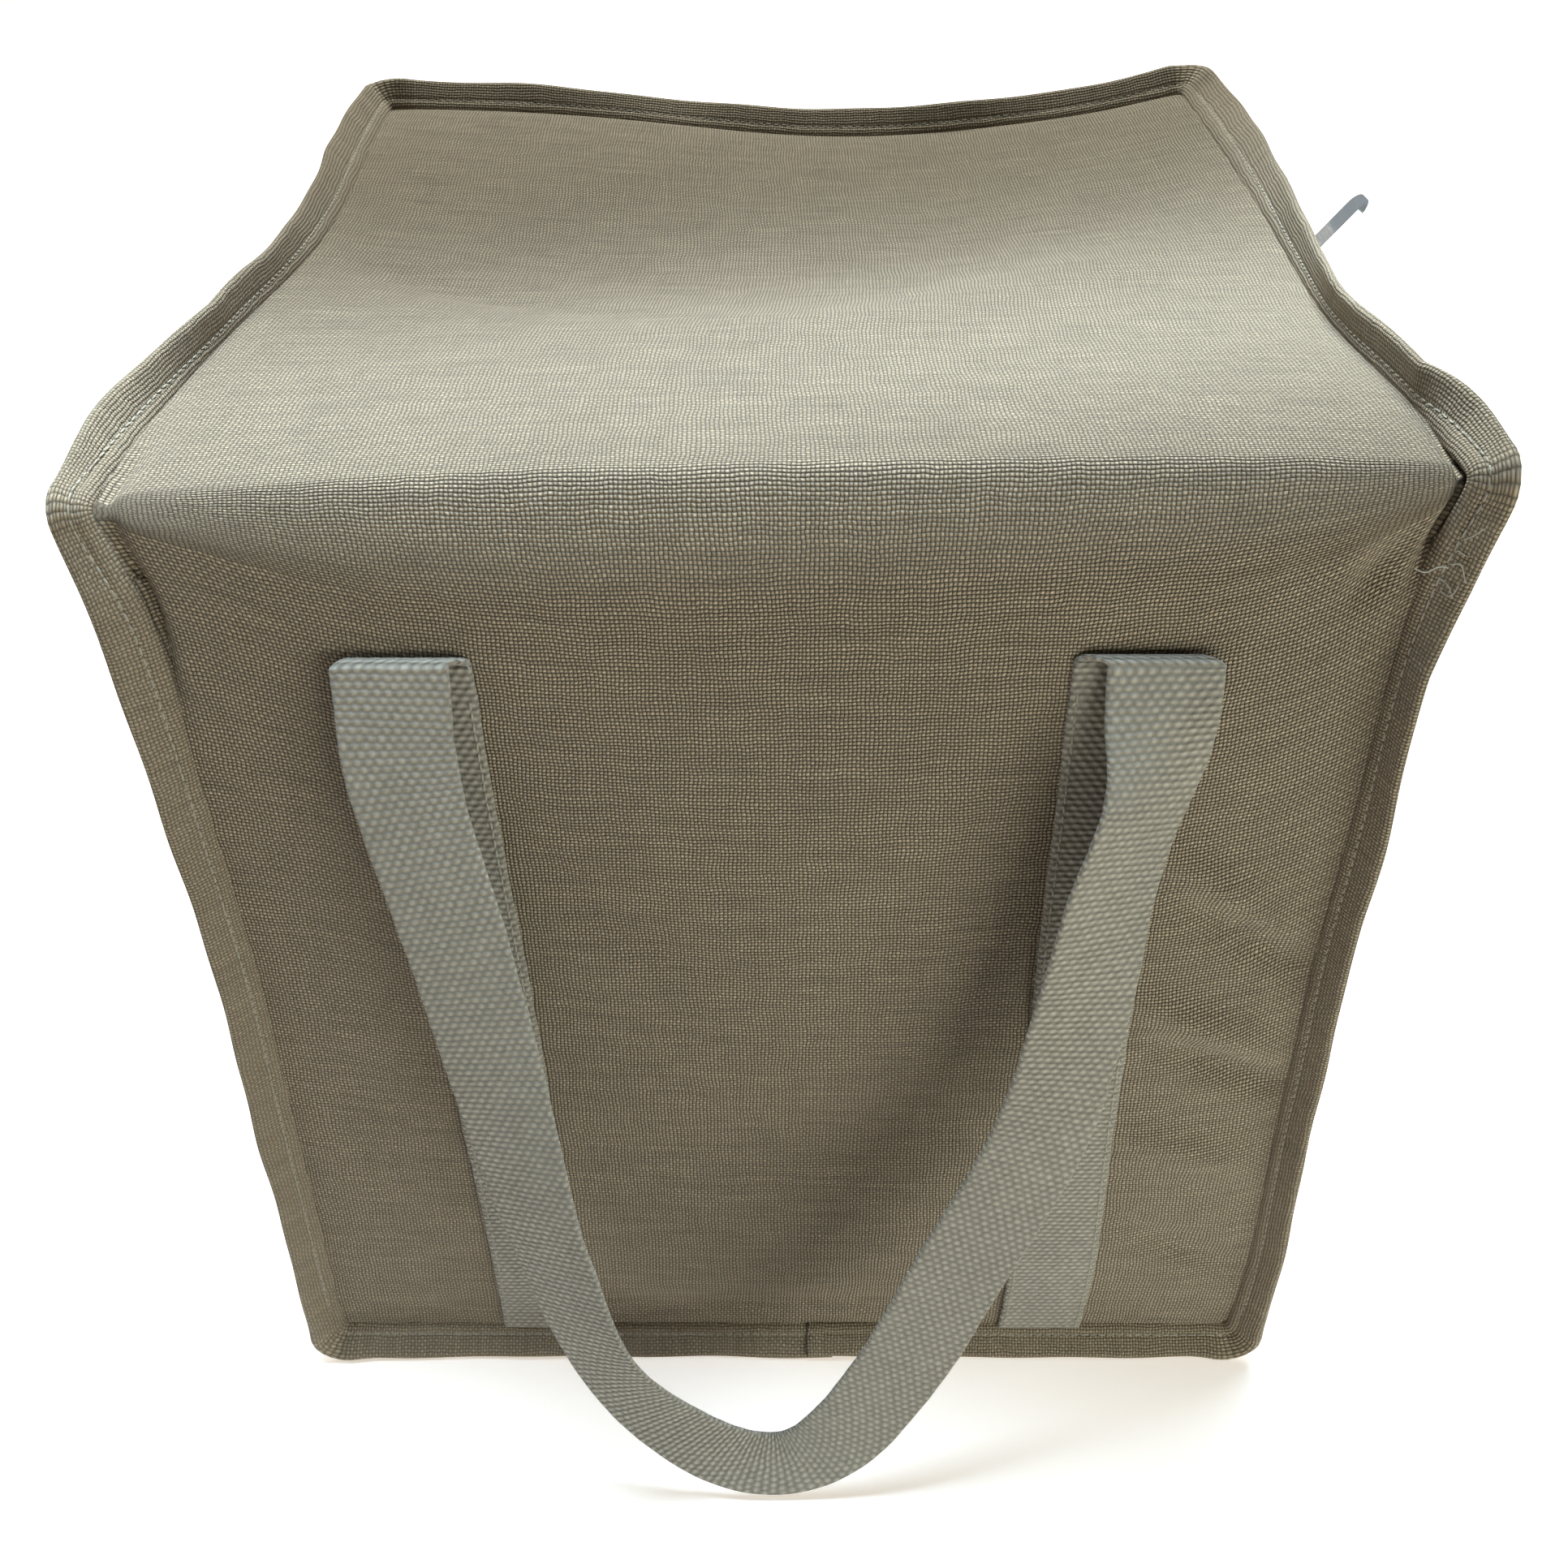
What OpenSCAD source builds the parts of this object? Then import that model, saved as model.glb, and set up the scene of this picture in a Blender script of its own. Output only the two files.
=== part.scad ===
// Lidded fabric storage bin. The front and the lid are one sheet of canvas that folds over
// the top front edge, a zip closes the lid's other three sides, every other seam stands out
// as a bound edge, and a webbing handle hangs on the front and on the back.
// Origin: centre of the base, on the surface it stands on. +X right, +Y back, +Z up.

/* [Box] */
// Width over the side panels
body_w = 320; // [280:5:400]
// Depth over the front and back panels
body_d = 334; // [280:5:400]
// Height of the lid's outer face
body_h = 348; // [330:1:380]
// How far the panels stop short of the fold at the top front edge
fold_r = 9; // [6:1:12]

/* [Walls] */
// Thickness of the canvas
canvas_t = 1.2; // [0.8:0.1:1.6]
// Thickness of the foam sheet behind the canvas
foam_t = 3; // [2:0.5:4]
// Thickness of the lining
lining_t = 0.8; // [0.5:0.1:1]
// Thickness of the board in the base
board_t = 3; // [2:0.5:4]

/* [Binding] */
// Width of the folded tape that stands out from each seam
bind_w = 11.5; // [8:0.5:14]
// Thickness of the folded tape over the seam
bind_t = 2.4; // [1.6:0.2:3]
// Length near the fold where the tape bends with the canvas and is left free
bind_free = 26; // [24:1:40]

/* [Straps and handles] */
// Width of the webbing
strap_w = 30; // [25:1:38]
// Thickness of the webbing
strap_t = 1.6; // [1.2:0.1:2]
// Distance between the centre lines of a pair of sewn straps
strap_spacing = 188; // [170:2:200]
// Height of the fold where the handle leaves the sewn strap
fold_h = 304; // [290:1:320]
// How far the hanging handle leans out from the panel, in degrees
handle_lean = 11; // [8:0.5:14]
// Radius of the handle's bend, to the middle of the webbing
bend_r = 56; // [45:1:70]

/* [Zip] */
// How far the zip's centre line lies below the lid's outer face
zip_drop = 7; // [7:0.5:9]
// Width of the tape below the teeth
tape_w = 14; // [12:1:18]
// Thickness of the tape
tape_t = 0.8; // [0.6:0.1:1]
// Place of the slider along the right side
slider_y = 2; // [-100:1:100]
// Length of the pull's blade from its hinge
pull_len = 26; // [20:1:30]
// Width of the pull's blade
pull_w = 9.4; // [8:0.2:11]
// Angle of the pull above the horizontal, in degrees
pull_angle = 52; // [40:1:55]

/* [Hidden] */
$fn = 48;

canvas = "tan";
foam = "whitesmoke";
lining = "gray";
webbing = "darkgray";
metal = "silver";

foam_in = canvas_t;
lining_in = foam_in + foam_t;
room_in = lining_in + lining_t;
base_in = canvas_t + board_t;

zip_z = body_h - zip_drop;
// Half the slot between the two rows of teeth
zip_slot = 0.6;
coil_h = 2.4;
coil_t = 2;
wall_top = zip_z - zip_slot - tape_w;
front_top = body_h - fold_r;
// Clearance that keeps neighbouring soft pieces apart
gap = 0.3;

// The tape's fold is round, so its seam is this high when the fold touches the floor
bind_root = (bind_w - bind_t / 2) * sin(45) + bind_t / 2;
lid_in = 5;

hinge_out = strap_t + 2 * gap;
floor_gap = 0.6;
handle_drop = (fold_h - floor_gap) / cos(handle_lean);
bend_drop = handle_drop - bend_r - strap_w / 2;
leg_reach = sqrt(pow(strap_spacing / 2, 2) + pow(bend_drop, 2));
leg_len = sqrt(pow(leg_reach, 2) - pow(bend_r, 2));
leg_tilt = atan(strap_spacing / 2 / bend_drop) - asin(bend_r / leg_reach);

plate_t = 1.2;
slider_len = 12;
slider_h = 8.6;
slider_gap = 0.4;
slider_out = coil_t + slider_gap;
bail_r = 0.7;
knuckle_in = 0.9;
knuckle_out = 1.9;
knuckle_len = 5.4;
bail_x = body_w / 2 + slider_out + plate_t + knuckle_out + 0.5;
post_w = 1.2;
pull_t = 2;
pull_neck = 3.8;

// A rectangular block between two opposite corners
module block(low, high) {
    translate(low) cube(high - low);
}

// One upright sheet of the box, from inset to inset + t inside the outer faces
module wall(side, inset, t, z0, z1) {
    x = body_w / 2 - inset;
    y = body_d / 2 - inset;
    if (side == "front") block([-x, -y, z0], [x, t - y, z1]);
    if (side == "back") block([-x, y - t, z0], [x, y, z1]);
    if (side == "left") block([-x, t - y, z0], [t - x, y - t, z1]);
    if (side == "right") block([x - t, t - y, z0], [x, y - t, z1]);
}

// A sheet that lies across the box, inset from its outer faces
module floor_sheet(inset, z0, z1) {
    x = body_w / 2 - inset;
    y = body_d / 2 - inset;
    block([-x, -y, z0], [x, y, z1]);
}

module front_panel() color(canvas) wall("front", 0, canvas_t, 0, front_top);
module back_panel() color(canvas) wall("back", 0, canvas_t, 0, wall_top);
module left_panel() color(canvas) wall("left", 0, canvas_t, 0, wall_top);
module right_panel() color(canvas) wall("right", 0, canvas_t, 0, wall_top);
module base_panel() color(canvas) floor_sheet(foam_in, 0, canvas_t);

module front_foam() color(foam) wall("front", foam_in, foam_t, canvas_t, front_top);
module back_foam() color(foam) wall("back", foam_in, foam_t, canvas_t, wall_top);
module left_foam() color(foam) wall("left", foam_in, foam_t, canvas_t, wall_top);
module right_foam() color(foam) wall("right", foam_in, foam_t, canvas_t, wall_top);
module base_board() color(foam) floor_sheet(lining_in, canvas_t, base_in);

module front_lining() color(lining) wall("front", lining_in, lining_t, base_in, front_top);
module back_lining() color(lining) wall("back", lining_in, lining_t, base_in, wall_top);
module left_lining() color(lining) wall("left", lining_in, lining_t, base_in, wall_top);
module right_lining() color(lining) wall("right", lining_in, lining_t, base_in, wall_top);
module base_lining() color(lining) floor_sheet(room_in, base_in, base_in + lining_t);

// Section of the folded tape, from where it leaves the panels out to its round fold
module tape_section(start) {
    flat_w = bind_w - bind_t / 2;
    translate([start, -bind_t / 2]) square([flat_w - start, bind_t]);
    translate([flat_w, 0]) circle(d = bind_t);
}

// A run of binding along X that leans out to -Y, down (lean = -45) or up (lean = 45)
module level_run(half_len, lean, start = 0) {
    translate([-half_len, 0, 0]) rotate([0, 90, 0]) rotate(-90 - lean)
        linear_extrude(2 * half_len) tape_section(start);
}

// A run of binding along Z that points out from a corner of the box
module upright_run(direction, z0, z1) {
    translate([0, 0, z0]) rotate(direction) linear_extrude(z1 - z0) tape_section(0);
}

module upright_binding(side_x, side_y, z1) {
    translate([side_x * body_w / 2, side_y * body_d / 2, 0])
        upright_run(atan2(side_y, side_x), bind_root + bind_t, z1);
}

// turn = 0 is the front edge, then 90 right, 180 back and 270 left
module base_binding(turn, reach, half_len) {
    rotate(turn) translate([0, -reach, bind_root]) level_run(half_len - bind_t, -45, bind_t / 2);
}

module front_left_binding() color(canvas) upright_binding(-1, -1, body_h - bind_free);
module front_right_binding() color(canvas) upright_binding(1, -1, body_h - bind_free);
module back_left_binding() color(canvas) upright_binding(-1, 1, wall_top);
module back_right_binding() color(canvas) upright_binding(1, 1, wall_top);
module front_bottom_binding() color(canvas) base_binding(0, body_d / 2, body_w / 2);
module right_bottom_binding() color(canvas) base_binding(90, body_w / 2, body_d / 2);
module back_bottom_binding() color(canvas) base_binding(180, body_d / 2, body_w / 2);
module left_bottom_binding() color(canvas) base_binding(270, body_w / 2, body_d / 2);

module lid_back_binding() color(canvas)
    rotate(180) translate([0, -body_d / 2, body_h]) level_run(body_w / 2 - bind_t / 2, 45);

module lid_side_binding(turn) {
    y0 = bind_free - body_d / 2;
    y1 = body_d / 2 - bind_t / 2;
    translate([0, (y0 + y1) / 2, 0]) rotate(turn)
        translate([0, -body_w / 2, body_h]) level_run((y1 - y0) / 2, 45);
}
module lid_left_binding() color(canvas) lid_side_binding(270);
module lid_right_binding() color(canvas) lid_side_binding(90);

module lid_panel() color(canvas)
    block([-body_w / 2, fold_r - body_d / 2, body_h - canvas_t], [body_w / 2, body_d / 2, body_h]);

// A layer under the lid's canvas, clear of the zip
module lid_layer(z1, t) {
    x = body_w / 2 - lid_in;
    y = body_d / 2 - lid_in;
    block([-x, 2 * fold_r - body_d / 2, z1 - t], [x, y, z1]);
}
module lid_foam() color(foam) lid_layer(body_h - canvas_t, foam_t);
module lid_lining() color(lining) lid_layer(body_h - canvas_t - foam_t, lining_t);

// The strap sewn to a panel, from the bottom binding up to the fold
module sewn_strap(side_x) {
    x = side_x * strap_spacing / 2;
    block([x - strap_w / 2, -body_d / 2 - strap_t, bind_root + bind_t],
        [x + strap_w / 2, -body_d / 2, fold_h - gap]);
}
module front_left_strap() color(webbing) sewn_strap(-1);
module front_right_strap() color(webbing) sewn_strap(1);
module back_left_strap() color(webbing) mirror([0, 1, 0]) sewn_strap(-1);
module back_right_strap() color(webbing) mirror([0, 1, 0]) sewn_strap(1);

// The handle laid flat: its hinge line is y = 0, and it hangs towards -y
module flat_handle() {
    intersection() {
        union() {
            translate([0, -bend_drop, 0]) rotate(180 + leg_tilt)
                rotate_extrude(angle = 180 - 2 * leg_tilt)
                    translate([bend_r - strap_w / 2, 0]) square([strap_w, strap_t]);
            for (side = [-1, 1])
                translate([side * strap_spacing / 2, 0, 0]) rotate(-side * leg_tilt)
                    translate([-strap_w / 2, -leg_len, 0]) cube([strap_w, leg_len + bind_w, strap_t]);
        }
        block([-strap_spacing, -2 * fold_h, 0], [strap_spacing, -gap, strap_t]);
    }
}

module handle_loop() {
    translate([0, -body_d / 2 - hinge_out, fold_h]) rotate([-handle_lean, 0, 0])
        rotate([90, 0, 0]) translate([0, 0, gap]) flat_handle();
}
module front_handle_loop() color(webbing) handle_loop();
module back_handle_loop() color(webbing) mirror([0, 1, 0]) handle_loop();

// The three sides of the zip between two heights, t thick, offset out from the box
module zip_runs(z0, z1, out, t, front_end) {
    x = body_w / 2 + out;
    y = body_d / 2 + out;
    for (side = [0, 1]) mirror([side, 0, 0])
        block([x - t, front_end - body_d / 2, z0], [x, y - t - gap, z1]);
    block([-x, y - t, z0], [x, y, z1]);
}
module lower_zip_tape() color(lining)
    zip_runs(wall_top, zip_z - zip_slot, 0, tape_t, fold_r - 2);
module upper_zip_tape() color(lining)
    zip_runs(zip_z + zip_slot, body_h - canvas_t, 0, tape_t, fold_r + 1);
module lower_zip_coil() color(lining)
    zip_runs(zip_z - zip_slot - coil_h, zip_z - zip_slot, coil_t, coil_t, fold_r - 2);
module upper_zip_coil() color(lining)
    zip_runs(zip_z + zip_slot, zip_z + zip_slot + coil_h, coil_t, coil_t, fold_r + 1);

// One of the slider's two plates, with round ends
module slider_plate(x0) {
    r = slider_h / 2;
    translate([x0, 0, 0]) rotate([90, 0, 90]) linear_extrude(plate_t) {
        square([slider_len - slider_h, slider_h], center = true);
        for (end = [-1, 1]) translate([end * (slider_len / 2 - r), 0]) circle(r = r);
    }
}

module zip_slider() color(metal)
    translate([0, slider_y, zip_z]) {
        face = body_w / 2;
        slider_plate(face + slider_out);
        slider_plate(face - tape_t - slider_gap - plate_t);
        block([face - tape_t - slider_gap - plate_t / 2, -slider_len / 3, -zip_slot / 2],
            [face + slider_out + plate_t / 2, slider_len / 3, zip_slot / 2]);
        for (end = [-1, 1]) {
            post_y = end * (knuckle_len / 2 + post_w / 2 + gap);
            block([face + slider_out + plate_t / 2, post_y - post_w / 2, -bail_r],
                [bail_x + bail_r, post_y + post_w / 2, bail_r]);
        }
        translate([bail_x, 0, 0]) rotate([90, 0, 0])
            cylinder(r = bail_r, h = knuckle_len + post_w, center = true);
    }

// Outline of the blade: a narrow neck, then full width with a round end
module blade_outline() {
    r = pull_w / 2;
    translate([knuckle_in + 0.3, -knuckle_len / 2]) square([pull_neck, knuckle_len]);
    translate([pull_neck, -r]) square([pull_len - r - pull_neck, pull_w]);
    translate([pull_len - r, 0]) circle(r = r);
}

module zip_pull() color(metal)
    translate([bail_x, slider_y, zip_z]) rotate([0, -pull_angle, 0])
        difference() {
            union() {
                translate([0, 0, -pull_t / 2]) linear_extrude(pull_t) blade_outline();
                rotate([90, 0, 0]) cylinder(r = knuckle_out, h = knuckle_len, center = true);
            }
            rotate([90, 0, 0]) cylinder(r = knuckle_in, h = 2 * knuckle_len, center = true);
        }

front_panel();
back_panel();
left_panel();
right_panel();
base_panel();
front_foam();
back_foam();
left_foam();
right_foam();
base_board();
front_lining();
back_lining();
left_lining();
right_lining();
base_lining();
front_left_binding();
front_right_binding();
front_bottom_binding();
back_left_binding();
back_right_binding();
back_bottom_binding();
left_bottom_binding();
right_bottom_binding();
front_left_strap();
front_right_strap();
back_left_strap();
back_right_strap();
lower_zip_tape();
lower_zip_coil();
lid_panel();
lid_foam();
lid_lining();
lid_left_binding();
lid_right_binding();
lid_back_binding();
upper_zip_tape();
upper_zip_coil();
front_handle_loop();
back_handle_loop();
zip_slider();
zip_pull();
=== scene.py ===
import math

import bmesh
import bpy
import numpy as np
from mathutils import Matrix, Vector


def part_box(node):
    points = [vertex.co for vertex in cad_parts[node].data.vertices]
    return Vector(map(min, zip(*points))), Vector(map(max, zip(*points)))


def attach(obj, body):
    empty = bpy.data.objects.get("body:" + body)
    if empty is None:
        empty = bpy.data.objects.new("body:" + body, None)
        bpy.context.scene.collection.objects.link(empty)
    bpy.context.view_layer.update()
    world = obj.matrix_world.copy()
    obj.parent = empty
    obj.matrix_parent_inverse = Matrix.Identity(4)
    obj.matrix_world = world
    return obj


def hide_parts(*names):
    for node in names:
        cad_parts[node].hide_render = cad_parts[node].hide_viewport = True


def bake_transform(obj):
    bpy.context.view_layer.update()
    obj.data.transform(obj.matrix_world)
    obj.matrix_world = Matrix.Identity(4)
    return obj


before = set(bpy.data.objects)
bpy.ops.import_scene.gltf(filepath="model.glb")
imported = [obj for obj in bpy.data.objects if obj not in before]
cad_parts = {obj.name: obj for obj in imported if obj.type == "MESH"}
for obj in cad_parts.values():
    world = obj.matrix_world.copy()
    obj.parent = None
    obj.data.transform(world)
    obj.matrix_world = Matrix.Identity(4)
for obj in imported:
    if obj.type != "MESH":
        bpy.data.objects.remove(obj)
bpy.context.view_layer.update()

MM = 0.001


def mm(v):
    return np.array(v, float) / MM


# ---------------------------------------------------------------- sizes in mm, from the CAD nodes
HX, HY, HZ = mm(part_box("lid_panel")[1])   # half width, half depth, height of the box
WALL_TOP = mm(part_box("left_panel")[1])[2]
LOWER_TAPE_TOP = mm(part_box("lower_zip_tape")[1])[2]
UPPER_TAPE_FOOT = mm(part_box("upper_zip_tape")[0])[2]
LOWER_COIL_FOOT = mm(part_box("lower_zip_coil")[0])[2]
STRAP_LO, STRAP_HI = (mm(v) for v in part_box("front_right_strap"))
STRAP_W = STRAP_HI[0] - STRAP_LO[0]
STRAP_T = STRAP_HI[1] - STRAP_LO[1]
STRAP_X = (STRAP_HI[0] + STRAP_LO[0]) / 2
STRAP_TOP = STRAP_HI[2]

# ---------------------------------------------------------------- sizes in mm, of the shaped cloth
WALL_T = 5.0                              # canvas, foam and lining together
SEAM_Z = 9.2                              # height of the bottom seam
SEAM_ROLL = 9.0                           # height over which a panel curves out of the bottom seam
FIN_W = 11.5                              # width of the binding
STITCH_ROW = 3.15                         # from the seam to the row of stitches
STITCH_PITCH = 3.3
STITCH_LENGTH = 2.9
STITCH_R = 0.32
FOLD_R = 4.0                              # radius of the fold at the side seams
TURN_R = 1.6                              # radius of the fold at the top of the straps
STRAP_SIT = 0.55 * STRAP_T                # from the panel to the middle of the webbing
LEAN = 10.5                               # hanging handles, degrees away from the panel
LINING = THREAD = 1                       # second material of a panel, and of a piece with stitches


# ---------------------------------------------------------------- shape helpers
def bump(t, centre, width, height):
    return height * np.exp(-(((t - centre) / width) ** 2))


def smooth(t, low, high):
    s = np.clip((np.asarray(t, float) - low) / (high - low), 0, 1)
    return s * s * (3 - 2 * s)


def ridge(u, v, at, angle, length, width, height):
    """A long soft crease on a surface, centred at a point and turned by an angle in degrees."""
    a = math.radians(angle)
    du, dv = u - at[0], v - at[1]
    along = du * math.cos(a) + dv * math.sin(a)
    across = dv * math.cos(a) - du * math.sin(a)
    return height * np.exp(-((along / length) ** 2) - (across / width) ** 2)


def creased(relief, u, v, creases):
    """Adds creases, each one a tuple of what ridge asks for: centre, angle, length, width, height."""
    for crease in creases:
        relief = relief + ridge(u, v, *crease)
    return relief


def unit(v):
    v = np.asarray(v, float)
    return v / np.maximum(np.linalg.norm(v, axis=-1, keepdims=True), 1e-9)


def form(p):
    """Takes points of the straight-sided box to the slumped, used one, in mm."""
    p = np.asarray(p, float)
    x, y, z = p[..., 0], p[..., 1], p[..., 2]
    right = np.clip(0.5 + x / (2 * HX), 0, 1)
    left = 1 - right
    back = np.clip(0.5 + y / (2 * HY), 0, 1)
    front = 1 - back
    top = smooth(z, 140, HZ)
    # side walls: waists drawn in, feet spread
    left_in = bump(z, 203, 82, 3.7) - bump(z, 0, 60, 2.3)
    left_in = left_in + front * (bump(z, 300, 44, 2.2) - bump(z, HZ, 20, 5.6))
    right_in = bump(z, 300, 52, 3.1) + bump(z, 205, 60, 2.8) - bump(z, 40, 60, 4.2) - bump(z, HZ, 18, 4.8)
    right_in = front * right_in + back * (bump(z, 180, 90, 4.5) - bump(z, 0, 60, 2))
    left_in = left_in + top * bump(y, 22, 96, 8)
    right_in = right_in + top * bump(y, -72, 58, 4.8)
    dx = left * left_in - right * right_in
    dy = top * front * (2.2 * right - 1.2 * left)
    dy = dy - back * bump(z, 190, 90, 5) * (1 - (x / HX) ** 2) - back * top * bump(x, 25, 80, 3)
    # top edges: left lower than right, the back one sagging most
    edge_l = -3.2 - bump(y, 40, 85, 3.6)
    edge_r = 3.2 - bump(y, -10, 85, 6.2)
    edge_b = -3.2 - bump(x, 25, 95, 10.3) + bump(x, 178, 42, 8)
    over = smooth(y, 0, HY)
    base_b = left * -3.2 + right * 3.2
    dz = top * (left * edge_l + right * edge_r + over * (edge_b - base_b))
    return p + np.stack([dx, dy, dz], -1)


def edge_fade(t, half, roll):
    """1 inside, falling to 0 at +-half over a length of roll."""
    return 1 - np.exp(-np.maximum(half - np.abs(t), 0) / roll)


def seam_fade(z):
    """0 at the bottom seam, rising to 1 above it."""
    return 1 - np.exp(-np.maximum(z - SEAM_Z, 0) / SEAM_ROLL)


FRONT_CREASES = (
    ((-52, 214), -40, 40, 11, -1.5), ((20, 250), -8, 60, 26, 1.3), ((20, 120), 8, 90, 20, -1.4),
    ((-128, 250), 82, 75, 22, -1.6), ((0, 60), 5, 110, 28, 1.6), ((66, 200), 88, 60, 16, -1.3),
    ((128, 222), -38, 26, 6, 2.9), ((136, 205), -36, 28, 6, -2.9), ((130, 168), -28, 28, 7, 3.2),
    ((138, 150), -26, 28, 6, -3.2), ((128, 110), -24, 26, 8, 2.4), ((132, 60), -36, 32, 8, -2.6),
    ((-30, 22), 2, 120, 9, -2.2), ((HX - 13, 323), 80, 8, 5, -2.4))
FRONT_SLITS = (((-HX + 3.4, 322), 86, 26, 2.6, -5.0), ((HX - 2.6, 336), 88, 14, 1.9, -4.5))
LID_CREASES = (
    ((0, -52), 4, 60, 20, 1.4), ((70, -20), 30, 60, 18, 1.6), ((-95, -18), -24, 50, 10, -1.6),
    ((95, 60), 62, 60, 11, 1.2), ((60, 120), 80, 60, 14, -1.2), ((-70, 100), 60, 60, 22, 1.0))
WALL_CREASES = (
    ((-60, 210), -50, 70, 16, -1.4), ((40, 130), 30, 80, 22, 1.6), ((95, 250), 70, 50, 12, -1.3),
    ((10, 60), 4, 110, 24, 1.2), ((-100, 110), -35, 34, 8, 1.6), ((-106, 94), -35, 34, 8, -1.6),
    ((0, 318), 0, 140, 9, -1.0))


def front_relief(x, z):
    """How far the front panel stands out of its flat plane."""
    inside = edge_fade(x, HX, 5) * seam_fade(z)
    soft = creased(bump(x, 0, 95, 1.0) * bump(z, 180, 110, 2.2), x, z, FRONT_CREASES)
    held = 1 - 0.65 * np.exp(-((np.abs(x) - STRAP_X) / 22) ** 2)
    return inside * (1.1 + 1.3 * held * soft) + creased(0, x, z, FRONT_SLITS)


def lid_relief(x, y):
    """How far the lid stands above its flat plane."""
    inside = edge_fade(x, HX, 6) * edge_fade(np.maximum(y, 0), HY, 6)
    middle_x = 1 - np.clip(np.abs(x) / HX, 0, 1) ** 3
    middle_y = 1 - np.clip(np.abs(y + 5) / (HY + 5), 0, 1) ** 3
    valley = y - 18 - 0.22 * x - 0.0012 * x * x
    sag = -11 / (1 + (valley / np.where(valley > 0, 95, 55)) ** 2)
    return inside * (1.4 + creased(0, x, y, LID_CREASES)) + middle_x * middle_y * sag


def wall_relief(along, z, half, flip):
    """How far a side or back wall stands out of its flat plane; flip of -1 mirrors the creases."""
    inside = edge_fade(along, half, 9) * seam_fade(z) * (1 - 0.6 * smooth(z, WALL_TOP - 14, WALL_TOP))
    return inside * (1.6 + creased(0, along * flip, z, WALL_CREASES))


# ---------------------------------------------------------------- meshes
class Shell:
    """Collects grids of quads with their own texture coordinates and materials."""

    def __init__(self):
        self.points, self.faces, self.uvs, self.kinds, self.count = [], [], [], [], 0

    def add(self, points):
        base = self.count
        points = np.asarray(points, float).reshape(-1, 3)
        self.points.append(points)
        self.count += len(points)
        return base

    def quads(self, index, uv, kind=0):
        """index and uv: arrays of corners, (n, 4) and (n, 4, 2)."""
        self.faces += index.tolist()
        self.uvs.append(np.asarray(uv, float).reshape(-1, 2))
        self.kinds += [kind] * len(index)

    def grid(self, points, u, v, wrap=False, kind=0):
        """points[i, j]: v along i, u along j; u has one more value than j when it wraps."""
        n, m = points.shape[:2]
        base = self.add(points)
        cols = m if wrap else m - 1
        i, j = (a.ravel() for a in np.meshgrid(range(n - 1), range(cols), indexing="ij"))
        k = (j + 1) % m
        index = base + np.stack([i * m + j, i * m + k, (i + 1) * m + k, (i + 1) * m + j], -1)
        u, v = np.asarray(u), np.asarray(v)
        uv = np.stack([np.stack([u[j], v[i]], -1), np.stack([u[j + 1], v[i]], -1),
                       np.stack([u[j + 1], v[i + 1]], -1), np.stack([u[j], v[i + 1]], -1)], 1)
        self.quads(index, uv, kind)
        return base

    def tube(self, points, u, v, kind=0):
        """A closed sweep with both ends capped."""
        n, m = points.shape[:2]
        base = self.grid(points, u, v, wrap=True, kind=kind)
        for row in (0, n - 1):
            self.faces.append([base + row * m + j for j in range(m)])
            self.uvs.append(np.stack([np.asarray(u)[:m], np.full(m, v[row])], -1))
            self.kinds.append(kind)

    def slab(self, outer, inner, u, v):
        """A closed panel between an outer and an inner grid of the same size."""
        n, m = outer.shape[:2]
        a = self.grid(outer, u, v)
        b = self.grid(inner, u, v, kind=LINING)
        uv = np.stack(np.meshgrid(u, v), -1).reshape(-1, 2)
        across, along = np.arange(m - 1), np.arange(n - 1) * m
        for row in (0, n - 1):
            self.rim(a, b, row * m + across, 1, uv, (0, WALL_T * MM))
        for col in (0, m - 1):
            self.rim(a, b, along + col, m, uv, (WALL_T * MM, 0))

    def rim(self, a, b, here, step, uv, over):
        """Closes one edge between the grids that start at a and b; over is the texture's way across it."""
        index = np.stack([a + here, a + here + step, b + here + step, b + here], -1)
        self.quads(index, np.stack([uv[here], uv[here + step], uv[here + step] + over, uv[here] + over], 1))

    def build(self, name, *materials):
        mesh = bpy.data.meshes.new(name)
        mesh.from_pydata((np.concatenate(self.points) * MM).tolist(), [], self.faces)
        layer = mesh.uv_layers.new(name="weave")
        layer.data.foreach_set("uv", np.concatenate(self.uvs).astype(np.float32).ravel())
        for m in materials:
            mesh.materials.append(m)
        mesh.polygons.foreach_set("material_index", self.kinds)
        mesh.polygons.foreach_set("use_smooth", [True] * len(mesh.polygons))
        work = bmesh.new()
        work.from_mesh(mesh)
        bmesh.ops.recalc_face_normals(work, faces=work.faces)
        work.to_mesh(mesh)
        work.free()
        obj = bpy.data.objects.new(name, mesh)
        bpy.context.scene.collection.objects.link(obj)
        return obj


def distances(points):
    """Distance along a polyline at each of its points."""
    return np.r_[0, np.cumsum(np.linalg.norm(np.diff(points[:, :3], axis=0), axis=1))]


def resample(points, step):
    """Even steps along a polyline; also the values of its other columns."""
    d = distances(points)
    t = np.linspace(0, d[-1], max(2, int(round(d[-1] / step)) + 1))
    return at_distance(t, d, points).T, t


def at_distance(t, d, values):
    """Every column of values, known at the distances d, worked out at t."""
    return np.array([np.interp(t, d, column) for column in values.T])


def tangents(points):
    return unit(np.gradient(points, axis=0))


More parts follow.
